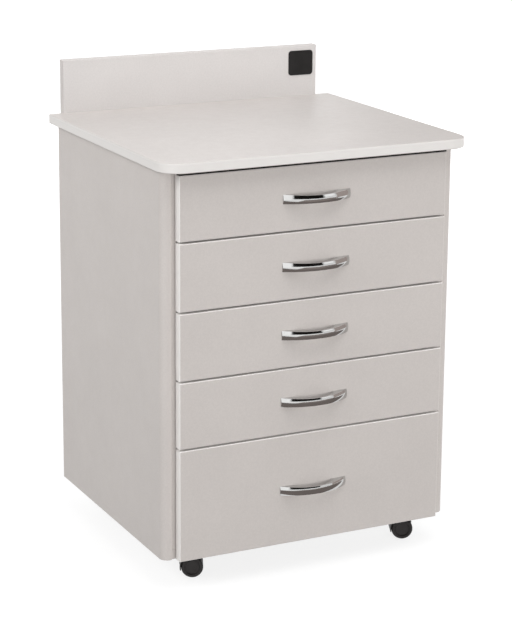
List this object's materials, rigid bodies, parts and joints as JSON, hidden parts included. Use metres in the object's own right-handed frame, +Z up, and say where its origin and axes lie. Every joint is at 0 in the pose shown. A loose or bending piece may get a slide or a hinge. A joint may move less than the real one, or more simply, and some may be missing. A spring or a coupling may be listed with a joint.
{
  "type": "mobile drawer cabinet",
  "caption": "Mobile clinic cabinet: laminated carcass, worktop with rear upstand, full-width drawers on telescopic slides with bow handles, and twin-wheel casters.",
  "frame": {"origin": "on the floor, below the centre of the bounding box", "axes": "+X to the right seen from the front, +Y to the back, +Z up"},
  "size_m": [0.6, 0.558, 0.878],
  "materials": {
    "laminate": "satin melamine laminate",
    "box_board": "satin melamine laminate",
    "hardboard": "painted hardboard",
    "slide_steel": "zinc plated",
    "screw_steel": "zinc plated",
    "cam_zinc": "die cast",
    "handle_chrome": "polished chrome",
    "plate_steel": "zinc plated",
    "caster_plastic": "moulded, matt",
    "wheel_plastic": "moulded, matt"
  },
  "bodies": {
    "cabinet": {"worktop": "laminate", "backsplash": "laminate", "left_side_panel": "laminate", "right_side_panel": "laminate", "bottom_panel": "laminate", "back_panel": "hardboard", "top_rails": "laminate", "slide_battens": "laminate", "cabinet_slide_channels": "slide_steel", "backsplash_screws": "screw_steel", "cam_fittings": "cam_zinc", "carcass_screws": "screw_steel", "caster_plates": "plate_steel"},
    "drawer_1": {"drawer_1_front": "laminate", "drawer_1_box": "box_board", "drawer_1_bottom": "hardboard", "drawer_1_handle": "handle_chrome", "drawer_1_screws": "screw_steel", "drawer_1_slide_channels": "slide_steel"},
    "drawer_1_middle_slides": {"drawer_1_middle_channels": "slide_steel"},
    "drawer_2": {"drawer_2_front": "laminate", "drawer_2_box": "box_board", "drawer_2_bottom": "hardboard", "drawer_2_handle": "handle_chrome", "drawer_2_screws": "screw_steel", "drawer_2_slide_channels": "slide_steel"},
    "drawer_2_middle_slides": {"drawer_2_middle_channels": "slide_steel"},
    "drawer_3": {"drawer_3_front": "laminate", "drawer_3_box": "box_board", "drawer_3_bottom": "hardboard", "drawer_3_handle": "handle_chrome", "drawer_3_screws": "screw_steel", "drawer_3_slide_channels": "slide_steel"},
    "drawer_3_middle_slides": {"drawer_3_middle_channels": "slide_steel"},
    "drawer_4": {"drawer_4_front": "laminate", "drawer_4_box": "box_board", "drawer_4_bottom": "hardboard", "drawer_4_handle": "handle_chrome", "drawer_4_screws": "screw_steel", "drawer_4_slide_channels": "slide_steel"},
    "drawer_4_middle_slides": {"drawer_4_middle_channels": "slide_steel"},
    "drawer_5": {"drawer_5_front": "laminate", "drawer_5_box": "box_board", "drawer_5_bottom": "hardboard", "drawer_5_handle": "handle_chrome", "drawer_5_screws": "screw_steel", "drawer_5_slide_channels": "slide_steel"},
    "drawer_5_middle_slides": {"drawer_5_middle_channels": "slide_steel"},
    "front_left_caster": {"front_left_caster_hood": "caster_plastic"},
    "front_left_caster_wheel_a": {"front_left_caster_wheel_a": "wheel_plastic"},
    "front_left_caster_wheel_b": {"front_left_caster_wheel_b": "wheel_plastic"},
    "front_right_caster": {"front_right_caster_hood": "caster_plastic"},
    "front_right_caster_wheel_a": {"front_right_caster_wheel_a": "wheel_plastic"},
    "front_right_caster_wheel_b": {"front_right_caster_wheel_b": "wheel_plastic"},
    "rear_left_caster": {"rear_left_caster_hood": "caster_plastic"},
    "rear_left_caster_wheel_a": {"rear_left_caster_wheel_a": "wheel_plastic"},
    "rear_left_caster_wheel_b": {"rear_left_caster_wheel_b": "wheel_plastic"},
    "rear_right_caster": {"rear_right_caster_hood": "caster_plastic"},
    "rear_right_caster_wheel_a": {"rear_right_caster_wheel_a": "wheel_plastic"},
    "rear_right_caster_wheel_b": {"rear_right_caster_wheel_b": "wheel_plastic"}
  },
  "joints": [
    {"name": "drawer_1_slide", "type": "slide", "parent": "cabinet", "child": "drawer_1", "axis": [0, -1, 0], "range_m": [0, 0.45]},
    {"name": "drawer_1_middle_slide", "type": "slide", "parent": "cabinet", "child": "drawer_1_middle_slides", "axis": [0, -1, 0], "range_m": [0, 0.225]},
    {"name": "drawer_2_slide", "type": "slide", "parent": "cabinet", "child": "drawer_2", "axis": [0, -1, 0], "range_m": [0, 0.45]},
    {"name": "drawer_2_middle_slide", "type": "slide", "parent": "cabinet", "child": "drawer_2_middle_slides", "axis": [0, -1, 0], "range_m": [0, 0.225]},
    {"name": "drawer_3_slide", "type": "slide", "parent": "cabinet", "child": "drawer_3", "axis": [0, -1, 0], "range_m": [0, 0.45]},
    {"name": "drawer_3_middle_slide", "type": "slide", "parent": "cabinet", "child": "drawer_3_middle_slides", "axis": [0, -1, 0], "range_m": [0, 0.225]},
    {"name": "drawer_4_slide", "type": "slide", "parent": "cabinet", "child": "drawer_4", "axis": [0, -1, 0], "range_m": [0, 0.45]},
    {"name": "drawer_4_middle_slide", "type": "slide", "parent": "cabinet", "child": "drawer_4_middle_slides", "axis": [0, -1, 0], "range_m": [0, 0.225]},
    {"name": "drawer_5_slide", "type": "slide", "parent": "cabinet", "child": "drawer_5", "axis": [0, -1, 0], "range_m": [0, 0.45]},
    {"name": "drawer_5_middle_slide", "type": "slide", "parent": "cabinet", "child": "drawer_5_middle_slides", "axis": [0, -1, 0], "range_m": [0, 0.225]},
    {"name": "front_left_caster_swivel", "type": "hinge", "parent": "cabinet", "child": "front_left_caster", "pos_m": [-0.218, -0.179, 0.0525], "axis": [0, 0, 1], "continuous": true},
    {"name": "front_left_caster_wheel_a_roll", "type": "hinge", "parent": "front_left_caster", "child": "front_left_caster_wheel_a", "pos_m": [-0.20704, -0.18388, 0.02], "axis": [0.4067, 0.9135, 0], "continuous": true},
    {"name": "front_left_caster_wheel_b_roll", "type": "hinge", "parent": "front_left_caster", "child": "front_left_caster_wheel_b", "pos_m": [-0.20704, -0.18388, 0.02], "axis": [0.4067, 0.9135, 0], "continuous": true},
    {"name": "front_right_caster_swivel", "type": "hinge", "parent": "cabinet", "child": "front_right_caster", "pos_m": [0.218, -0.179, 0.0525], "axis": [0, 0, 1], "continuous": true},
    {"name": "front_right_caster_wheel_a_roll", "type": "hinge", "parent": "front_right_caster", "child": "front_right_caster_wheel_a", "pos_m": [0.22896, -0.18388, 0.02], "axis": [0.4067, 0.9135, 0], "continuous": true},
    {"name": "front_right_caster_wheel_b_roll", "type": "hinge", "parent": "front_right_caster", "child": "front_right_caster_wheel_b", "pos_m": [0.22896, -0.18388, 0.02], "axis": [0.4067, 0.9135, 0], "continuous": true},
    {"name": "rear_left_caster_swivel", "type": "hinge", "parent": "cabinet", "child": "rear_left_caster", "pos_m": [-0.218, 0.187, 0.0525], "axis": [0, 0, 1], "continuous": true},
    {"name": "rear_left_caster_wheel_a_roll", "type": "hinge", "parent": "rear_left_caster", "child": "rear_left_caster_wheel_a", "pos_m": [-0.20704, 0.18212, 0.02], "axis": [0.4067, 0.9135, 0], "continuous": true},
    {"name": "rear_left_caster_wheel_b_roll", "type": "hinge", "parent": "rear_left_caster", "child": "rear_left_caster_wheel_b", "pos_m": [-0.20704, 0.18212, 0.02], "axis": [0.4067, 0.9135, 0], "continuous": true},
    {"name": "rear_right_caster_swivel", "type": "hinge", "parent": "cabinet", "child": "rear_right_caster", "pos_m": [0.218, 0.187, 0.0525], "axis": [0, 0, 1], "continuous": true},
    {"name": "rear_right_caster_wheel_a_roll", "type": "hinge", "parent": "rear_right_caster", "child": "rear_right_caster_wheel_a", "pos_m": [0.22896, 0.18212, 0.02], "axis": [0.4067, 0.9135, 0], "continuous": true},
    {"name": "rear_right_caster_wheel_b_roll", "type": "hinge", "parent": "rear_right_caster", "child": "rear_right_caster_wheel_b", "pos_m": [0.22896, 0.18212, 0.02], "axis": [0.4067, 0.9135, 0], "continuous": true}
  ],
  "couplings": [
    {"joint": "drawer_1_middle_slide", "follows": "drawer_1_slide", "ratio": 0.5},
    {"joint": "drawer_2_middle_slide", "follows": "drawer_2_slide", "ratio": 0.5},
    {"joint": "drawer_3_middle_slide", "follows": "drawer_3_slide", "ratio": 0.5},
    {"joint": "drawer_4_middle_slide", "follows": "drawer_4_slide", "ratio": 0.5},
    {"joint": "drawer_5_middle_slide", "follows": "drawer_5_slide", "ratio": 0.5}
  ]
}
